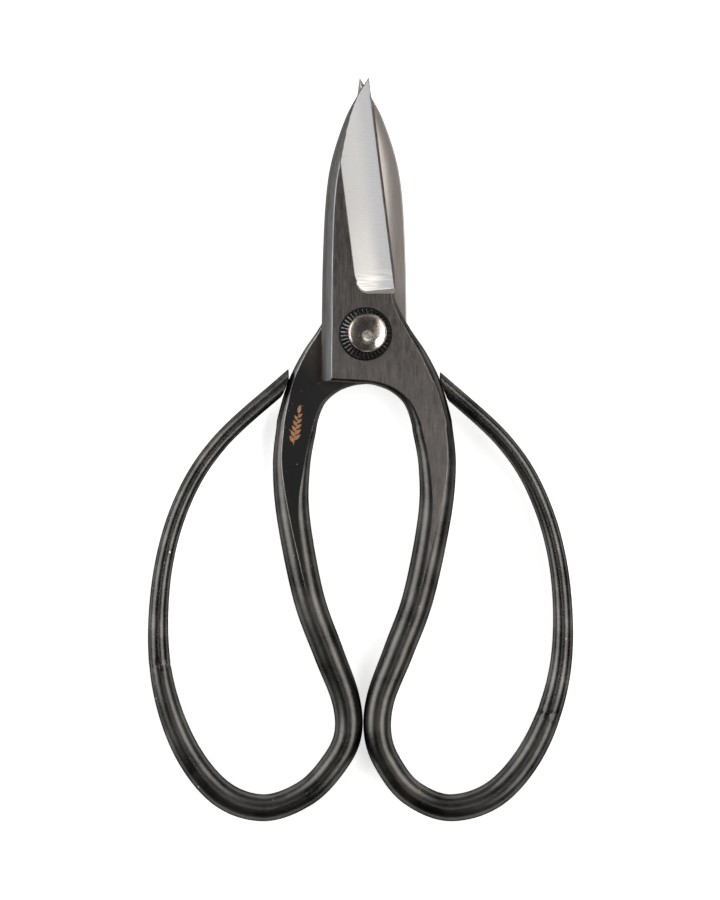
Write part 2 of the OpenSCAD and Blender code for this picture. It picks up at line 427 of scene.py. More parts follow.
def handle_grid(side, rings, first, last):
    """Points and normals of the handle's surface on rings first..last, as two grids."""
    run = tangents(rings)[first:last + 1]
    part = rings[first:last + 1]
    rows = np.array([section(w, b, EDGE_ARCS[side]) for w, b in part[:, 2:4]])
    across = np.c_[-run[:, 1], run[:, 0], np.zeros(len(run))]
    centre = np.c_[part[:, :2], np.zeros(len(part))]
    points = centre[:, None] + rows[:, :, :1] * across[:, None] + rows[:, :, 1:2] * UP
    round_run = -rows[:, :, 3:4] * across[:, None] + rows[:, :, 2:3] * UP
    return points, unit(np.cross(round_run, np.gradient(points, axis=0)))


def weld_scar(points, normals, at):
    """Points and normals with a shallow pitted seam pressed in round the weld, whose ring is number at."""
    seam = points[at].mean(axis=0)
    points, normals = points.copy(), normals.copy()
    first, last = max(at - WELD_REACH, 0), min(at + WELD_REACH + 1, len(points))
    for i in range(first, last):
        middle = points[i].mean(axis=0)
        away = np.linalg.norm(middle - seam)
        for j, point in enumerate(points[i]):
            pit = max(noise.noise(Vector(point) * 1.3), 0)
            depth = WELD_GROOVE * math.exp(-(away / 0.6) ** 2) + WELD_PIT * pit * math.exp(-(away / 1.8) ** 2)
            points[i, j] += (middle - point) / np.linalg.norm(middle - point) * depth
    scarred = points[first:last]
    around = np.roll(scarred, -1, axis=1) - np.roll(scarred, 1, axis=1)
    normals[first:last] = unit(np.cross(around, np.gradient(scarred, axis=0)))
    return points, normals


# ---------------------------------------------------------------- the forging

# The darker outer chamfer is painted shade; the two finishes after it are painted highlights.
POLISHED, GROUND, SCALE, INNER, CHAMFER, SHADED_CHAMFER, RIDGE_HIGHLIGHT, CREASE_HIGHLIGHT, PLUNGE = range(9)
CREASE_HIGHLIGHT_FROM = 6  # y below which the inner face's hub crease gets a painted highlight line
SHADED_SHARE = 0.4  # share of the chamfer, along its outer edge, that is painted darker as shade on its steeper part
BORE_R = 3.05
BORE_SIDES = 64
BORE = BORE_R * np.c_[np.cos(np.arange(BORE_SIDES) * 2 * math.pi / BORE_SIDES),
                      np.sin(np.arange(BORE_SIDES) * 2 * math.pi / BORE_SIDES)]


PLUNGE_SEARCH = (-0.6, 3.0)  # how far outside the bevel's floor its wall may end
RIDGE_FROM = 40  # y above which chamfer and bevel can meet in a ridge
ROW_STEP = 1.5  # spacing of the points on the lines along the bevel
ROW_END = 60
OUTER_ARC_LINES, INNER_ARC_LINES = 8, 6  # lines down each rounded edge
CREASE_MARGIN = 0.012  # how close such lines may come to the outline
CDT_EPSILON = 1e-4
NORMAL_INSET = 0.03  # how far inside the outline its normals are read


def from_edge(uv):
    """Points given as distance in from the cutting edge and distance along it from the heel."""
    return HEEL + uv[:, :1] * EDGE_IN + uv[:, 1:] * EDGE_RUN


def plunge_line(past):
    """Line round the heel end of the bevel's floor, that far outside it: a distance or a function."""
    u = np.linspace(-1, BEVEL_W - BEVEL_CORNER, 26)
    turn = np.radians(np.linspace(0, 90, 19)[1:])
    arc = np.c_[np.sin(turn), -np.cos(turn)]
    centre = np.array([BEVEL_W - BEVEL_CORNER, BEVEL_CORNER])
    base = np.vstack([np.c_[u, np.zeros(len(u))], centre + BEVEL_CORNER * arc])
    out = np.vstack([np.tile([0.0, -1.0], (len(u), 1)), arc])
    reach = past(base, out) if callable(past) else np.full(len(base), past)
    return from_edge(base + out * reach[:, None])


def plunge_top(base, out):
    """How far outside the bevel's floor the wall reaches the hub's face, found by halving."""
    low, high = (np.full(len(base), reach) for reach in PLUNGE_SEARCH)
    for _ in range(30):
        mid = (low + high) / 2
        under = bevel_height(from_edge(base + out * mid[:, None])) < HUB_T
        low, high = np.where(under, mid, low), np.where(under, high, mid)
    return low


def ridge_to_tip():
    """Line where the spine chamfer meets the bevel, from the end of the flat strip to the tip."""
    line = []
    for p, n in zip(SPINE_LINE, offset(SPINE_LINE, 1) - SPINE_LINE):
        q = p + np.linspace(0.01, CHAMFER_W[0], 240)[:, None] * n
        over = np.nonzero(chamfer_height(q) > bevel_height(q))[0]
        if p[1] > RIDGE_FROM and len(over) and bevel_height(q[over[:1]])[0] < HUB_T:
            line.append(q[over[0]])
    return np.array(line)


def outer_creases(plate):
    """Lines on the outer face that triangle edges have to follow."""
    lines = []
    for u in [0.4, *range(1, int(BEVEL_W)), BEVEL_W - CREASE, BEVEL_W, BEVEL_W + CREASE]:
        v = np.arange(BEVEL_CORNER if u > BEVEL_W - BEVEL_CORNER else 0.6, ROW_END, ROW_STEP)
        lines.append(from_edge(np.c_[np.full(len(v), u), v]))
    for share in (-1, -0.5, 0, 0.5, 1):
        lines.append(plunge_line(share * PLUNGE_BLEND))
    for aside in (-CREASE, 0, CREASE):
        lines.append(plunge_line(lambda base, out, aside=aside: plunge_top(base, out) + aside))
    rule = spline(np.vstack([[-HUB_HALF_W, -12.2], SPINE]), 14)
    width = chamfer_width(rule)
    lines += [offset(rule, share * width) for share in (0.2, 0.4, 0.6, 0.8, 1)]
    lines += [offset(rule, width + aside) for aside in (-CREASE, CREASE)]
    ridge = ridge_to_tip()
    lines += [offset(ridge, aside) for aside in (-CREASE, 0, CREASE)]
    return lines + [line for edge in plate.outer_edges for line in edge.lines(OUTER_ARC_LINES)]


def inner_creases(plate):
    """Lines on the inner face that triangle edges have to follow."""
    return [line for edge in plate.inner_edges for line in edge.lines(INNER_ARC_LINES)]


def clipped(line, loop, margin):
    """The stretches of a line that lie inside a closed outline by a margin."""
    keep = inside(loop, line) & (distance_to(np.vstack([loop, loop[:1]]), line) > margin)
    cuts = np.nonzero(np.diff(keep.astype(int)))[0] + 1
    runs = zip(np.split(line, cuts), np.split(keep, cuts))
    return [run for run, kept in runs if kept[0] and len(run) > 1]


def slopes(height, at, step=0.008):
    """Upward unit normals of a height function."""
    dx = (height(at + [step, 0]) - height(at - [step, 0])) / (2 * step)
    dy = (height(at + [0, step]) - height(at - [0, step])) / (2 * step)
    return unit(np.c_[-dx, -dy, np.ones(len(at))])


def cap(patches, loop, loop_ids, bore_ids, creases, height, up, finish):
    """Triangles one face of the plate between its outline and its bore."""
    points, edges = [], []

    def chain(line, closed=False):
        start, n = len(points), len(line)
        points.extend(line)
        edges.extend((start + i, start + (i + 1) % n) for i in range(n if closed else n - 1))

    chain(loop, closed=True)
    chain(BORE, closed=True)
    fixed = loop_ids + bore_ids
    for line in creases:
        for run in clipped(line, loop, CREASE_MARGIN):
            chain(run)
    verts, _, faces, sources, *_ = delaunay_2d_cdt([Vector(p) for p in points], edges, [], 0, CDT_EPSILON)
    flat, faces = np.array([v[:] for v in verts]), np.array([f[:] for f in faces])
    middle = flat[faces].mean(axis=1)
    keep = inside(loop, middle) & (np.linalg.norm(middle, axis=1) > BORE_R * math.cos(math.pi / BORE_SIDES))
    faces, middle = faces[keep], middle[keep]

    ids = np.array([next((fixed[s] for s in source if s < len(fixed)), -1) for source in sources])
    border = ids >= 0
    used = np.isin(np.arange(len(flat)), faces)
    new = np.nonzero(~border & used)[0]
    ids[new] = patches.add(np.c_[flat[new], height(flat[new])].tolist())

    # Border normals are read just inside the outline, so that a face's edge doesn't bend them.
    pull, count = np.zeros_like(flat), np.zeros(len(flat))
    for f, m in zip(faces, middle):
        pull[f] += m
        count[f] += 1
    inward = unit(pull / np.maximum(count, 1)[:, None] - flat)
    normals = slopes(height, flat + np.where(border[:, None], NORMAL_INSET * inward, 0))
    for f, m in zip(faces, finish(middle)):
        order = f if up else f[::-1]
        patches.face([int(ids[i]) for i in order], [normals[i] if up else -normals[i] for i in order], int(m))


def wall(patches, top, bottom, normals, mat):
    """Upright strip between two rows of vertices."""
    for i in range(len(top) - 1):
        patches.face([bottom[i], bottom[i + 1], top[i + 1], top[i]],
                     [normals[i], normals[i + 1], normals[i + 1], normals[i]], mat)


def outer_finish(plate):
    """Function that names the finish of spots on the outer face by the surface that they lie on."""
    def finish(p):
        bevel, chamfer = bevel_height(p), chamfer_height(p)
        lost = deepest(plate.outer_edges, p)
        out = np.full(len(p), GROUND)
        out[chamfer < np.minimum(HUB_T, bevel)] = CHAMFER
        # The chamfer's steeper outer part gets a darker finish, as painted shade.
        out[(out == CHAMFER) & (distance_to(SPINE_RULE, p) < SHADED_SHARE * chamfer_width(p))] = SHADED_CHAMFER
        # A painted highlight line along the crease where the chamfer meets the flat.
        on_line = np.abs(distance_to(SPINE_RULE, p) - chamfer_width(p)) < CREASE
        out[on_line & (bevel > HUB_T) & (lost <= TOUCH)] = RIDGE_HIGHLIGHT
        out[bevel < np.minimum(HUB_T, chamfer)] = POLISHED
        out[(out == POLISHED) & (bevel > bevel_floor(edge_frame(p)[0]) + 0.3 * PLUNGE_BLEND)] = PLUNGE
        out[(lost > TOUCH) & (HUB_T - lost < np.minimum(bevel, chamfer))] = SCALE
        return out
    return finish


def inner_finish(plate):
    """The same for the inner face."""
    def finish(p):
        hub_edge = plate.inner_edges[1]
        arc = hub_edge.radius_at(p) * (1 - math.sin(hub_edge.cut))
        out = np.where(deepest(plate.inner_edges[:2], p) > TOUCH, SCALE, INNER)
        # A painted highlight line along the inner face's hub crease, low on the plate.
        worn = (distance_to(hub_edge.line, p) < arc + CREASE) & (p[:, 1] < CREASE_HIGHLIGHT_FROM)
        out[(out == INNER) & worn] = CREASE_HIGHLIGHT
        return out
    return finish


def outward(line):
    """Level normals pointing to the left of a line's travel."""
    return np.c_[offset(line, -1) - line, np.zeros(len(line))]


def forging(name, side, materials):
    """One half's blade, hub, shank and handle as far as the weld, in one mesh."""
    plate = Plate(side)
    patches = Patches()
    rings = leaned(side)
    points, normals = handle_grid(side, rings, ROOT_STATION * RING_STEPS, round(WELD[side] * RING_STEPS))
    points, normals = weld_scar(points, normals, len(points) - 1)
    root = patches.add(points[0].tolist())
    half = len(root) // 2
    root_top, root_low = root[:half], root[half:][::-1]
    root_at = [points[0][:half, :2], points[0][half:][::-1, :2]]

    edge = np.linspace(TIP, HEEL, 40)[1:-1]
    lines = [plate.hub_line[:-1], plate.crotch_line[1:], SPINE_LINE[1:], edge]
    top = [patches.add(np.c_[line, plate.outer(line)].tolist()) for line in lines]
    low = [patches.add(np.c_[line, plate.inner(line)].tolist()) for line in lines]
    bore_top = patches.add(np.c_[BORE, np.full(len(BORE), HUB_T)].tolist())
    bore_low = patches.add(np.c_[BORE, np.full(len(BORE), HUB_GAP)].tolist())
    for rows, middle, at, bore, creases, height, up, finish in (
            (top, root_top, root_at[0], bore_top, outer_creases(plate), plate.outer, True,
             outer_finish(plate)),
            (low, root_low, root_at[1], bore_low, inner_creases(plate), plate.inner, False,
             inner_finish(plate))):
        loop = np.vstack([lines[0], at, *lines[1:]])
        ids = rows[0] + middle + rows[1] + rows[2] + rows[3]
        cap(patches, loop, ids, bore, creases, height, up, finish)

    wall(patches, top[0] + root_top[:1], low[0] + root_low[:1], outward(plate.hub_line), SCALE)
    wall(patches, root_top[-1:] + top[1], root_low[-1:] + low[1], outward(plate.crotch_line), SCALE)
    wall(patches, top[1][-1:] + top[2], low[1][-1:] + low[2], outward(SPINE_LINE), CHAMFER)
    wall(patches, top[2][-1:] + top[3] + top[0][:1], low[2][-1:] + low[3] + low[0][:1],
         np.tile([*-EDGE_IN, 0], (len(edge) + 2, 1)), POLISHED)
    ring = np.c_[-BORE / BORE_R, np.zeros(len(BORE))]
    wall(patches, bore_top[::-1] + bore_top[-1:], bore_low[::-1] + bore_low[-1:],
         np.vstack([ring[::-1], ring[-1:]]), SCALE)

    finishes = np.full(points.shape[:2], SCALE)
    finishes[:, CORNER_STEPS:CORNER_STEPS + 3] = GROUND
    finishes[:, 3 * CORNER_STEPS + 4:3 * CORNER_STEPS + 6] = INNER
    # The shank's crease column gets the same painted highlight line.
    finishes[:, 3 * CORNER_STEPS + 6] = CREASE_HIGHLIGHT
    last = patches.strip(root, points, finishes, normals)
    onward = np.append(tangents(rings)[round(WELD[side] * RING_STEPS)], 0)
    patches.fan(last, points[-1].mean(axis=0), onward, SCALE)
    return patches.build(name, materials, placed(side))


# ---------------------------------------------------------------- the loops' rods

ROD_RIM = 0.25  # bevel round a rod's ground end


def crossing(points, gaps, level):
    """Where each column of a grid comes down to that distance from the shank."""
    out = []
    for column, gap in zip(points.transpose(1, 0, 2), gaps.T):
        i = np.nonzero(gap > level)[0][-1]
        i = min(i, len(gap) - 2)
        t = (gap[i] - level) / (gap[i] - gap[i + 1])
        out.append(column[i] + t * (column[i + 1] - column[i]))
    return np.array(out)


def handle_rod(name, side, materials):
    """The thin rod from the weld round the loop to its ground end beside the shank."""
    rings = leaned(side)
    first = round(WELD[side] * RING_STEPS)
    points, normals = handle_grid(side, rings, first, len(rings) - 1)
    points, normals = weld_scar(points, normals, 0)
    a, b = HUB_SIDE[4], HUB_SIDE[5]
    away = unit(np.array([a[1] - b[1], b[0] - a[0]]))
    gaps = np.minimum((points[:, :, :2] - a) @ away - LOOP_GAP, points[:, :, 0] - LOOP_TIP_X)
    whole = int(np.nonzero((gaps > ROD_RIM + 0.1).all(axis=1))[0][-1])
    rim, end = crossing(points, gaps, ROD_RIM), crossing(points, gaps, 0)
    end += (end.mean(axis=0) - end) * ROD_RIM / (HANDLE[-1, 2] / 2)

    patches = Patches()
    start = patches.add(points[0].tolist())
    back = np.append(-tangents(rings)[first], 0)
    patches.fan(start[::-1], points[0].mean(axis=0), back, 0)
    body = np.concatenate([points[:whole + 1], rim[None]])
    ids = patches.strip(start, body, 0, np.concatenate([normals[:whole + 1], normals[whole:whole + 1]]))
    facing = np.append(-away, 0)
    soft = unit(normals[whole] + facing)
    ids = patches.strip(ids, np.array([rim, end]), 0, np.array([soft, soft]))
    patches.fan(ids, end.mean(axis=0), facing, 0)
    return patches.build(name, materials, placed(side))


# ---------------------------------------------------------------- washers and rivet

HEAD_R = 4.95
HEAD_H = 2.2
HEAD_TILT = math.radians(17.5)  # slope of the crown at the head's edge
HEAD_EDGE = 0.9  # rounding of that edge
HEAD_SHIFT = (0.8, 0)  # how far the hammer pushed the head off the pivot
TAIL_FLAT = 0.3
SHAFT_R = 3.0
WASHER_R = 6.8
WASHER_H = 1.1
WASHER_RIM = 0.12  # height of the washer's outer edge
WASHER_CONE = math.tan(math.radians(31.5))  # slope of its cone, which runs on under the head
WASHER_EYE = 4.6  # radius at which the cone ends
WASHER_BAND = 0.35  # plain band round the flutes
WASHER_BORE = 3.5
WASHER_SHIFT = (0.35, -0.28)  # the washer's play sideways round the rivet
# Flats worn on the head: direction and tilt in degrees, depth
WORN_FACETS = [(-38, 17, 0.07), (60, 10, 0.02), (215, 11, 0.02), (-90, 3, 0.055)]
WASHER_RINGS = 14
EYE_LIP = 0.2  # width of the step inside the cone's end
FLUTES = 36
FLUTE_SIDES = 10  # facets across one flute
FLUTE_FADE = 0.3  # length over which a flute runs out
GROOVE_FROM = 0.4  # depth, as a share, from which a flute is black
DOME_RINGS, TAIL_RINGS = 26, 30
DOME_TOP = 0.98  # share of the way up the crown that the head's rings go
FLUTE_DEPTH = 0.34
TURN_STEPS = 96


def turned(radii, heights, sides):
    """Rings of points round the pivot, one for each radius and height."""
    a = np.arange(sides) * 2 * math.pi / sides
    r, z = np.broadcast_arrays(np.reshape(radii, (-1, 1)), np.reshape(heights, (-1, 1)))
    return np.stack([r * np.cos(a), r * np.sin(a), np.broadcast_to(z, (len(r), sides))], axis=2)


def washer(name, side, lift, materials):
    """Black washer with radial flutes down its cone, seated that high above the mid-plane."""
    sides = FLUTES * FLUTE_SIDES
    wave = 0.5 + 0.5 * np.cos(np.arange(sides) * 2 * math.pi / FLUTE_SIDES)
    radii = np.linspace(WASHER_R, WASHER_EYE, WASHER_RINGS)
    cone = WASHER_RIM + (WASHER_R - radii) * WASHER_CONE
    flutes = turned(radii, cone, sides)
    run_out = np.minimum(WASHER_R - WASHER_BAND - radii, radii - WASHER_EYE)
    fade = np.clip(run_out / FLUTE_FADE, 0, 1)[:, None]
    flutes[:, :, 2] -= FLUTE_DEPTH * fade * wave
    plain = radii[:, None] > WASHER_R - WASHER_BAND
    grooved = np.where(plain | (wave > GROOVE_FROM), 1, 0)
    rim = turned([WASHER_R, WASHER_R], [0, 0], sides)
    rim[1] = flutes[0]

    patches = Patches()
    start = patches.add(turned([WASHER_BORE], [0], sides)[0].tolist())
    foot = turned([WASHER_BORE, WASHER_R], [0, 0], sides)
    eye = turned([WASHER_EYE, WASHER_EYE - EYE_LIP, WASHER_BORE], [cone[-1], WASHER_H, WASHER_H], sides)
    ids = start
    for grid, mat in ((foot, 0), (rim, 0), (flutes, grooved), (eye, 0)):
        ids = patches.strip(ids, grid, mat)
    patches.strip(ids, turned([WASHER_BORE, WASHER_BORE], [WASHER_H, 0], sides), 0, end=start)
    seat = Matrix.Translation((-side * WASHER_SHIFT[0], WASHER_SHIFT[1], lift))
    return patches.build(name, materials, placed(side) @ seat)


HEAD_BALL = (HEAD_R - HEAD_EDGE) / math.sin(HEAD_TILT) + HEAD_EDGE


def dome(share):
    """Radii and heights of a head's rings, from its upright edge to that share of the way up its crown."""
    crown = HEAD_BALL * (1 - math.cos(HEAD_TILT))
    turn = np.linspace(math.pi / 2, HEAD_TILT, 10)[:-1]
    edge_r = HEAD_R - HEAD_EDGE * (1 - np.sin(turn))
    edge_z = HEAD_H - crown - HEAD_EDGE * (math.cos(HEAD_TILT) - np.cos(turn))
    tilt = HEAD_TILT * (1 - share)
    over_r, over_z = HEAD_BALL * np.sin(tilt), HEAD_H - HEAD_BALL * (1 - np.cos(tilt))
    return np.concatenate([[HEAD_R], edge_r, over_r]), np.concatenate([[0], edge_z, over_z])


def rivet(name, low, high, materials):
    """Peened rivet: a domed, worn head, a shaft, and a tail with a small flat; low and high are its seats."""
    radii, heights = dome(np.linspace(0, DOME_TOP, DOME_RINGS))
    head = turned(radii, high + heights, TURN_STEPS)
    for toward, tilt, depth in WORN_FACETS:
        toward, tilt = math.radians(toward), math.radians(tilt)
        n = np.array([math.cos(toward) * math.sin(tilt), math.sin(toward) * math.sin(tilt), math.cos(tilt)])
        over = (head - [0, 0, high + HEAD_H - HEAD_BALL]) @ n - (HEAD_BALL - depth)
        head -= np.maximum(over, 0)[:, :, None] * n
    head[:, :, :2] += HEAD_SHIFT
    radii, heights = dome(np.linspace(0, 1, TAIL_RINGS))
    keep = heights < HEAD_H - TAIL_FLAT
    edge_r = np.interp(HEAD_H - TAIL_FLAT, heights, radii)
    radii, heights = np.append(radii[keep], edge_r), np.append(heights[keep], HEAD_H - TAIL_FLAT)
    tail = turned(radii[::-1], low - heights[::-1], TURN_STEPS)

    patches = Patches()
    start = patches.add(tail[0].tolist())
    patches.fan(start[::-1], tail[0].mean(axis=0), -UP, 0)
    low_seat = turned([HEAD_R, SHAFT_R], [low] * 2, TURN_STEPS)
    shaft = turned([SHAFT_R] * 2, [low, high], TURN_STEPS)
    high_seat = turned([SHAFT_R, HEAD_R], [high] * 2, TURN_STEPS)
    high_seat[1] = head[0]
    ids = start
    for grid in (tail, low_seat, shaft, high_seat, head):
        ids = patches.strip(ids, grid, 0)
    patches.fan(ids, head[-1].mean(axis=0), UP, 0)
    return patches.build(name, materials, Matrix.Identity(4))


# ---------------------------------------------------------------- gilt sprig on the shank

SPRIG_AT = np.array([17.3, -23.4])  # middle of the sprig on the back half's inner face
SPRIG_TURN = math.radians(9.6)
SPRIG_LENGTH = 10.4
SPRIG_LEAVES = 5  # pairs of leaves
LEAF = (2.3, 0.95)  # length and width
LEAF_LEAN = math.radians(42)
LEAF_FOOT = np.array([0.16, 0.35])  # from the stem's middle to where a leaf starts
LEAF_SHRINK = 0.06  # share of full size that each pair loses against the one below
LEAF_STEPS = 9
STEM_HALF_W = 0.09
STEM_STEPS = 12
STEM_BARE = 0.9  # length of stem below the first pair
GILT_T = 0.02


def inner_level(y):
    """Height of a half's inner face at y along the shank."""
    rings = leaned(BACK)[:3 * RING_STEPS]
    roundness = np.interp(-y, -rings[:, 1], rings[:, 3])
    half = np.interp(-y, -rings[:, 1], rings[:, 2]) / 2
    return HUB_GAP * (1 - roundness) - half * roundness


def leaf(at, lean, size):
    """Pointed leaf that starts at a point and leans from the stem's direction."""
    length, width = LEAF[0] * size, LEAF[1] * size
    t = np.linspace(0, 1, LEAF_STEPS)
    bulge = width / 2 * np.sin(math.pi * t ** 0.85)
    rim = np.vstack([np.c_[bulge, t * length], np.c_[-bulge, t * length][-2:0:-1]])
    return at + spun(rim, lean)


def sprig(name, materials):
    """A plain leaf sprig in gilt, a thin layer on the back half's shank."""
    shapes = []
    stem = np.linspace(-SPRIG_LENGTH / 2, SPRIG_LENGTH / 2 - LEAF[0], STEM_STEPS)
    flank = np.full(STEM_STEPS, STEM_HALF_W)
    shapes.append(np.vstack([np.c_[flank, stem], np.c_[-flank, stem[::-1]]]))
    for k in range(SPRIG_LEAVES):
        y = stem[0] + STEM_BARE + (stem[-1] - stem[0] - STEM_BARE) * k / SPRIG_LEAVES
        for hand in (-1, 1):
            foot = LEAF_FOOT * hand + [0, y]
            shapes.append(leaf(foot, hand * LEAF_LEAN, 1 - LEAF_SHRINK * k))
    shapes.append(leaf(np.array([0, stem[-1] + 0.05]), 0, 1))
    patches = Patches()
    for shape in shapes:
        flat = SPRIG_AT + spun(shape, SPRIG_TURN)
        level = inner_level(flat[:, 1])
        top = patches.add(np.c_[flat, level - GILT_T].tolist())
        low = patches.add(np.c_[flat, level + GILT_T].tolist())
        patches.face(top[::-1], [-UP] * len(top), 0)
        patches.face(low, [UP] * len(low), 0)
        for i in range(len(top)):
            j = (i + 1) % len(top)
            side = unit(np.append((flat[j] - flat[i])[::-1] * [1, -1], 0))
            patches.face([top[i], top[j], low[j], low[i]], [side] * 4, 0)
    return patches.build(name, materials, placed(BACK))


# ---------------------------------------------------------------- materials

DARK_RIM = (0.2, 0.2, 0.2, 1)  # reflection of black oxide seen edge-on


NOISE_MIDDLE = (0.3, 0.7)
PAINTED_SHEEN_STRIP = (2.9, 5.4)  # distances from the edge over which the painted cooler strip along the edge ends


class Finish:
    """A Principled material and short ways to add nodes to it; lengths in its textures are millimetres."""

    def __init__(self, name, **constants):
        self.material = bpy.data.materials.new(name)
        self.material.use_nodes = True
        self.tree = self.material.node_tree
        self.shader = self.tree.nodes["Principled BSDF"]
        for socket, value in constants.items():
            self.shader.inputs[socket.replace("_", " ")].default_value = value
        coord = self.tree.nodes.new("ShaderNodeTexCoord")
        self.place = self.mapped(coord.outputs["Object"], scale=(1 / MM, 1 / MM, 1 / MM))

    def node(self, kind, **inputs):
        """A new node; its inputs are values or other nodes' outputs."""
        node = self.tree.nodes.new(kind)
        for socket, value in inputs.items():
            self.feed(node.inputs[socket.replace("_", " ")], value)
        return node

    def feed(self, socket, value):
        if isinstance(value, bpy.types.NodeSocket):
            self.tree.links.new(value, socket)
        else:
            socket.default_value = value

    def mapped(self, vector, scale=(1, 1, 1), turn=0.0):
        """The vector scaled, then turned about Z."""
        node = self.node("ShaderNodeMapping", Vector=vector, Scale=scale, Rotation=(0, 0, turn))
        return node.outputs["Vector"]

    def noise(self, scale, turn=0.0, detail=3.0, rough=0.5):
        """Noise from 0 to 1; scale stretches it along the axes, turned by an angle first."""
        vector = self.mapped(self.mapped(self.place, turn=turn), scale=scale)
        node = self.node("ShaderNodeTexNoise", Vector=vector, Scale=1.0, Detail=detail, Roughness=rough)
        return node.outputs["Fac"]

    def math(self, operation, a, b=0.0, clamp=False):
        node = self.node("ShaderNodeMath")
        node.operation, node.use_clamp = operation, clamp
        self.feed(node.inputs[0], a)
        self.feed(node.inputs[1], b)
        return node.outputs[0]

    def span(self, value, low, high, to_low=0.0, to_high=1.0):
        """Value carried from low..high to to_low..to_high, clamped."""
        node = self.node("ShaderNodeMapRange", Value=value, From_Min=low, From_Max=high,
                         To_Min=to_low, To_Max=to_high)
        return node.outputs["Result"]

    def swing(self, noise, to_low=0.0, to_high=1.0):
        """Noise stretched so that most of it runs from to_low to to_high."""
        return self.span(noise, *NOISE_MIDDLE, to_low, to_high)

    def along(self, direction, origin=(0, 0)):
        """Distance along a direction in the plane, from an origin."""
        node = self.node("ShaderNodeVectorMath")
        node.operation = "DOT_PRODUCT"
        self.feed(node.inputs[0], self.place)
        node.inputs[1].default_value = (direction[0], direction[1], 0)
        start = direction[0] * origin[0] + direction[1] * origin[1]
        return self.math("SUBTRACT", node.outputs["Value"], start)

    def mix(self, share, a, b):
        """Colour a carried to colour b by a share."""
        node = self.node("ShaderNodeMix")
        node.data_type = "RGBA"
        self.feed(node.inputs["Factor"], share)
        for socket, value in zip([s for s in node.inputs if s.type == "RGBA"], (a, b)):
            self.feed(socket, value if isinstance(value, bpy.types.NodeSocket) else (*value, 1))
        return next(s for s in node.outputs if s.type == "RGBA")

    def bump(self, height, depth):
        """Bumps of that depth in millimetres."""
        node = self.node("ShaderNodeBump", Height=height, Distance=depth * MM)
        self.feed(self.shader.inputs["Normal"], node.outputs["Normal"])

    def colour(self, value):
        self.feed(self.shader.inputs["Base Color"], value)

    def roughness(self, value):
        self.feed(self.shader.inputs["Roughness"], value)


def polished_steel(name, side):
    """Bevel: fine grinding lines across the blade; a cooler strip along the edge, and lighter steel beyond it
    that rises towards the heel, are painted reflection.
    """
    f = Finish(name, Metallic=1.0)
    mirror = np.array([-side, 1.0])
    u = f.along(EDGE_IN * mirror, HEEL * mirror)
    v = f.along(EDGE_RUN * mirror, HEEL * mirror)
    fine = f.noise((0.12, 11, 1), detail=4, rough=0.6)
    broad = f.noise((0.05, 1.4, 0.3), detail=2)
    wander = f.noise((0.1, 0.25, 0.3), detail=3)
    # Painted reflection: a cooler strip along the edge, and lighter steel beyond it towards the heel.
    seam = f.math("ADD", u, f.swing(wander, -0.15, 0.15))
    strip = f.span(seam, *PAINTED_SHEEN_STRIP)
    body = f.mix(f.span(fine, 0.25, 0.75), (0.215, 0.216, 0.219), (0.325, 0.327, 0.331))
    painted_edge_tone = f.mix(f.span(fine, 0.25, 0.75), (0.25, 0.256, 0.27), (0.34, 0.346, 0.362))
    base = f.mix(strip, painted_edge_tone, body)
    heel = f.math("MULTIPLY", f.span(v, 6, 1), f.span(broad, 0.45, 0.62))
    near = f.span(v, 22, 0, 0, 0.35)
    base = f.mix(f.math("MULTIPLY", strip, near), base, (0.5, 0.49, 0.475))
    f.colour(f.mix(f.math("MULTIPLY", heel, 0.5), base, (0.8, 0.79, 0.77)))
    f.roughness(f.math("ADD", f.span(fine, 0.25, 0.75, 0.24, 0.4), f.span(strip, 0, 1, 0.06, 0.0)))
    f.bump(fine, 0.006)
    return f.material


def ground_steel(name):
    """Outer flat of blade, hub and shank: dark brown-grey with streaks along the tool."""
    f = Finish(name, Metallic=1.0)
    streaks = f.noise((5, 0.14, 1), detail=4, rough=0.62)
    cloud = f.noise((0.16, 0.05, 0.1), detail=3)
    pits = f.noise((1.4, 1.1, 1), detail=5, rough=0.7)
    mottle = f.noise((0.8, 0.3, 0.5), detail=5, rough=0.7)
    tone = f.math("ADD", f.swing(streaks, -0.1, 0.45), f.swing(mottle, -0.05, 0.3))
    tone = f.math("ADD", tone, f.span(f.along((0, 1)), 20, -25, 0, 0.33), clamp=True)
    base = f.mix(tone, (0.06, 0.053, 0.05), (0.36, 0.333, 0.318))
    base = f.mix(f.span(cloud, 0.45, 0.7, 0, 0.5), base, (0.18, 0.182, 0.186))
    f.colour(f.mix(f.span(pits, 0.62, 0.8, 0, 0.5), base, (0.05, 0.045, 0.04)))
    f.roughness(f.span(streaks, 0.2, 0.8, 0.38, 0.52))
    f.bump(f.math("ADD", streaks, f.math("MULTIPLY", pits, 0.6)), 0.012)
    return f.material


def chamfer_steel(name, dark, light):
    """Chamfer along the spine, its outer part painted darker as shade, and painted highlight lines along
    creases: ground steel streaked along the blade.
    """
    f = Finish(name, Metallic=1.0)
    streaks = f.noise((6, 0.1, 3), detail=4, rough=0.6)
    f.colour(f.mix(f.swing(streaks), dark, light))
    f.roughness(f.span(streaks, 0.2, 0.8, 0.36, 0.5))
    f.bump(streaks, 0.01)
    return f.material


def wheel_marked_steel(name):
    """Wall that the grinding wheel left at the heel of the bevel: dull and pale."""
    f = Finish(name, Metallic=0.6)
    marks = f.noise((2, 5, 0.6), detail=4, rough=0.6)
    f.colour(f.mix(f.swing(marks), (0.5, 0.49, 0.475), (0.75, 0.74, 0.72)))
    f.roughness(f.swing(marks, 0.5, 0.65))
    f.bump(marks, 0.02)
    return f.material


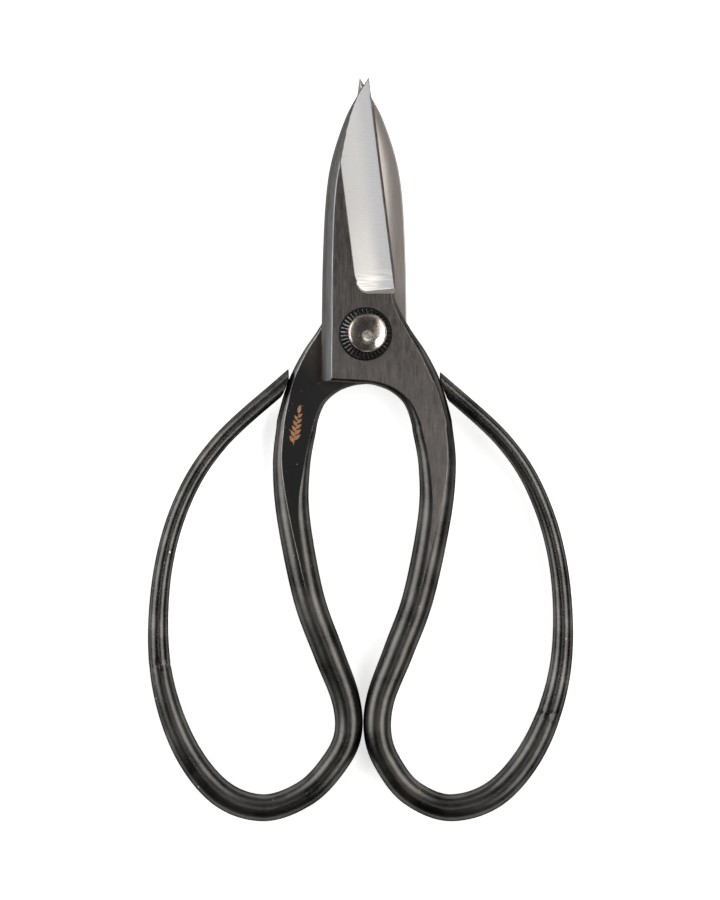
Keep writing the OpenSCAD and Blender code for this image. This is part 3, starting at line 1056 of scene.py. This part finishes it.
def inner_steel(name, side):
    """Inner face: ground brown-grey on the blade, fading to black scale from the hub down."""
    f = Finish(name, IOR=1.5)
    streaks = f.noise((4, 0.16, 1), detail=4, rough=0.6)
    cloud = f.noise((0.3, 0.16, 0.3), detail=4, rough=0.65)
    toward_tip = f.math("ADD", f.along((0.6 * side, 0.8)), f.swing(cloud, -2, 2))
    ground = f.mix(f.span(streaks, 0.25, 0.75), (0.42, 0.382, 0.357), (0.58, 0.53, 0.5))
    bare = f.span(toward_tip, -2, 3)
    specks = f.span(f.noise((1.6, 1.6, 1.6), detail=2, rough=0.4), 0.745, 0.765)
    brown = f.math("MULTIPLY", f.span(f.along((side, 0.9)), -25, -13), f.span(cloud, 0.35, 0.65, 0.4, 1))
    black = f.mix(brown, (0.005, 0.005, 0.0055), (0.055, 0.044, 0.037))
    black = f.mix(specks, black, (0.35, 0.35, 0.35))
    f.colour(f.mix(bare, black, ground))
    f.feed(f.shader.inputs["Metallic"], bare)
    f.roughness(f.span(bare, 0, 1, 0.43, 0.46))
    f.bump(f.math("ADD", streaks, cloud), 0.01)
    return f.material


def black_scale(name, roughness, drawn):
    """Black oxide: satin and faintly pitted, with rare bright specks; drawn wire is lined near its end."""
    f = Finish(name, Metallic=1.0, Specular_Tint=DARK_RIM)
    pits = f.noise((1.3, 1.3, 1.3), detail=6, rough=0.65)
    cloud = f.noise((0.12, 0.12, 0.12), detail=3)
    specks = f.span(f.noise((1.1, 1.1, 1.1), detail=2, rough=0.4), 0.76, 0.775)
    base = f.mix(f.swing(cloud), (0.055, 0.0545, 0.0545), (0.135, 0.13, 0.123))
    f.colour(f.mix(specks, base, (0.5, 0.49, 0.47)))
    f.roughness(f.math("ADD", f.swing(cloud, *roughness), f.span(pits, 0.4, 0.75, 0, 0.1)))
    height = pits
    if drawn:
        lines = f.span(f.noise((1.4, 0.3, 1.4), turn=0.9, detail=5, rough=0.7), 0.3, 0.7)
        height = f.math("ADD", pits, f.math("MULTIPLY", lines, f.span(f.along((0, 1)), -40, -15, 0, 1.6)))
    f.bump(height, 0.025)
    return f.material


def washer_ridge(name):
    """Black of the washer, rubbed bright along its flutes' ridges."""
    f = Finish(name, Metallic=1.0, Specular_Tint=DARK_RIM)
    rubs = f.noise((1.5, 1.5, 1.5), detail=4, rough=0.6)
    f.colour(f.mix(f.span(rubs, 0.35, 0.65), (0.06, 0.06, 0.063), (0.24, 0.24, 0.245)))
    f.roughness(f.swing(rubs, 0.1, 0.18))
    f.bump(rubs, 0.012)
    return f.material


def washer_groove(name):
    """Deep black of its grooves."""
    f = Finish(name, IOR=1.3)
    dirt = f.noise((2, 2, 2), detail=4, rough=0.6)
    f.colour(f.mix(dirt, (0.0015, 0.0015, 0.0015), (0.005, 0.005, 0.005)))
    f.roughness(f.swing(dirt, 0.35, 0.6))
    f.bump(dirt, 0.012)
    return f.material


def rivet_wear_and_painted_sheen_finish(name):
    """Peened rivet: handled steel with brown stain and bare worn patches, painted lighter towards the lower
    right as a reflection of the light from that side.
    """
    f = Finish(name, Metallic=1.0)
    stain = f.noise((0.5, 0.5, 0.5), detail=5, rough=0.6)
    spots = f.noise((1.8, 1.8, 1.8), detail=4, rough=0.6)
    # Painted reflection: lighter towards the lower right.
    painted_light_side = f.span(f.along((0.7, -0.7)), -3, 4, 0.15, 0.75)
    tone = f.math("ADD", f.swing(stain, -0.3, 0.5), painted_light_side, clamp=True)
    base = f.mix(tone, (0.24, 0.195, 0.162), (0.82, 0.76, 0.7))
    f.colour(f.mix(f.span(spots, 0.6, 0.75, 0, 0.7), base, (0.06, 0.05, 0.045)))
    f.roughness(f.swing(stain, 0.32, 0.16))
    f.bump(f.math("ADD", spots, stain), 0.02)
    return f.material


def gilt(name):
    """Worn gold print."""
    f = Finish(name, Metallic=0.3)
    wear = f.noise((3, 3, 3), detail=4, rough=0.6)
    f.colour(f.mix(f.span(wear, 0.35, 0.65), (0.55, 0.29, 0.135), (0.43, 0.22, 0.1)))
    f.roughness(f.swing(wear, 0.4, 0.6))
    f.bump(wear, 0.01)
    return f.material


def floor_finish(name):
    """Matt near-white that also glows, so that shadows on it stay faint."""
    f = Finish(name, Roughness=0.9, Specular_IOR_Level=0.1, Emission_Strength=0.68)
    f.shader.inputs["Emission Color"].default_value = (1, 1, 1, 1)
    grain = f.noise((0.02, 0.02, 0.02), detail=2)
    f.colour(f.mix(grain, (0.93, 0.93, 0.93), (0.95, 0.95, 0.95)))
    return f.material


# ---------------------------------------------------------------- the pieces

def forged_materials(side, word):
    """The finishes of one forging, in the order of POLISHED and the names that follow it."""
    return [polished_steel("polished_steel_" + word, side), GROUND_STEEL, BLACK_SCALE,
            inner_steel("inner_steel_" + word, side), *STREAKED, WHEEL_MARKED_STEEL]


def settle(piece, body, node):
    """Declares what a finished piece rides on and replaces."""
    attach(piece, body)
    if node:
        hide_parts(node)


GROUND_STEEL = ground_steel("ground_steel")
BLACK_SCALE = black_scale("black_scale", (0.24, 0.33), False)
BLACK_WIRE = black_scale("black_wire", (0.2, 0.27), True)
STREAKED = [chamfer_steel(name + "_steel", dark, light) for name, dark, light in (
    ("chamfer", (0.08, 0.082, 0.085), (0.145, 0.147, 0.15)),
    # Painted shade on the chamfer's steeper outer part.
    ("painted_shade_chamfer", (0.062, 0.057, 0.054), (0.12, 0.112, 0.107)),
    # Painted highlight along the chamfer's ridge.
    ("painted_ridge_highlight", (0.12, 0.12, 0.12), (0.42, 0.415, 0.41)),
    # Painted highlight along creases on the inner face and shank.
    ("painted_crease_highlight", (0.3, 0.29, 0.28), (0.85, 0.83, 0.81)))]
WHEEL_MARKED_STEEL = wheel_marked_steel("wheel_marked_steel")
for side, word in ((FRONT, "front"), (BACK, "back")):
    body = word + "_half"
    blade = forging(word + "_forging", side, forged_materials(side, word))
    settle(blade, body, word + "_blade")
    settle(handle_rod(word + "_loop_rod", side, [BLACK_WIRE]), body, word + "_handle_rod")

WASHER_BLACKS = [washer_ridge("washer_ridge"), washer_groove("washer_groove")]
front_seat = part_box("front_washer")[0][2] / MM
back_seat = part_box("back_washer")[1][2] / MM
for side, word, lift in ((FRONT, "front", front_seat - MID_Z), (BACK, "back", MID_Z - back_seat)):
    cone = washer(word + "_fluted_washer", side, lift, WASHER_BLACKS)
    settle(cone, "back_half", word + "_washer")
settle(rivet("peened_rivet", back_seat - WASHER_H, front_seat + WASHER_H, [rivet_wear_and_painted_sheen_finish("worn_rivet")]),
       "back_half", "pivot_rivet")
settle(sprig("gilt_sprig", [gilt("gilt")]), "back_half", None)


# ---------------------------------------------------------------- floor, lights and camera

FOOT_Y = -121.0  # where the loops touch what the tool lies on
FOOT_STATION = 10  # the handle's station there
FLOOR_REACH = 3000
FIELD_W = 184.5  # width that the camera sees at the mid-plane
CAMERA_X, CAMERA_Y = -1.08, -29.83  # what it is aimed at
CAMERA_DISTANCE = 700.0
LAMP_DISTANCE = 700


def floor():
    """Pale table under the tool, which rests on the rivet's tail and the feet of its loops."""
    foot_z = MID_Z - HANDLE[FOOT_STATION, 2] / 2
    tilt = math.atan2(foot_z, -FOOT_Y)
    mesh = bpy.data.meshes.new("floor")
    corners = [(x * FLOOR_REACH, y * FLOOR_REACH, 0) for x, y in ((-1, -1), (1, -1), (1, 1), (-1, 1))]
    turn = Matrix.Rotation(-tilt, 4, "X")
    mesh.from_pydata([(turn @ Vector(c)) * MM for c in corners], [], [(0, 1, 2, 3)])
    mesh.materials.append(floor_finish("pale_floor"))
    show("floor", mesh)


def softbox(name, azimuth, elevation, width, height, radiance, tint):
    """Rectangular lamp aimed at the tool; azimuth counts from +X toward +Y."""
    lamp = bpy.data.lights.new(name, "AREA")
    lamp.shape, lamp.size, lamp.size_y = "RECTANGLE", height * MM, width * MM
    lamp.energy = radiance * math.pi * width * height * MM * MM
    lamp.color = tint
    az, el = math.radians(azimuth), math.radians(elevation)
    aim = Vector((math.cos(az) * math.cos(el), math.sin(az) * math.cos(el), math.sin(el)))
    obj = show(name, lamp)
    obj.location = Vector((0, CAMERA_Y, MID_Z)) * MM + aim * LAMP_DISTANCE * MM
    obj.rotation_euler = aim.to_track_quat("Z", "Y").to_euler()


def world(strength):
    """Even white light from all round."""
    scene_world = bpy.data.worlds.new("studio")
    scene_world.use_nodes = True
    background = scene_world.node_tree.nodes["Background"]
    background.inputs["Color"].default_value = (1, 1, 1, 1)
    background.inputs["Strength"].default_value = strength
    bpy.context.scene.world = scene_world


def camera():
    """Looks straight down on the tool, as the photograph does; its clip distances are metres."""
    lens = bpy.data.cameras.new("camera")
    lens.sensor_fit, lens.sensor_width = "HORIZONTAL", 36
    lens.lens = lens.sensor_width * CAMERA_DISTANCE / FIELD_W
    lens.clip_start, lens.clip_end = 0.01, 20
    obj = show("camera", lens)
    obj.location = Vector((CAMERA_X, CAMERA_Y, MID_Z + CAMERA_DISTANCE)) * MM
    bpy.context.scene.camera = obj


floor()
softbox("softbox_left", 166, 34, 440, 760, 3.1, (1.0, 0.985, 0.965))
softbox("softbox_right", -2, 50, 330, 1050, 3.2, (1.0, 0.965, 0.92))
softbox("softbox_far", 90, 40, 250, 600, 0.6, (1.0, 1.0, 1.0))
softbox("softbox_top", -90, 84, 100, 100, 3.2, (1.0, 1.0, 1.0))
world(0.03)
camera()
bpy.context.scene.view_settings.view_transform = "Standard"
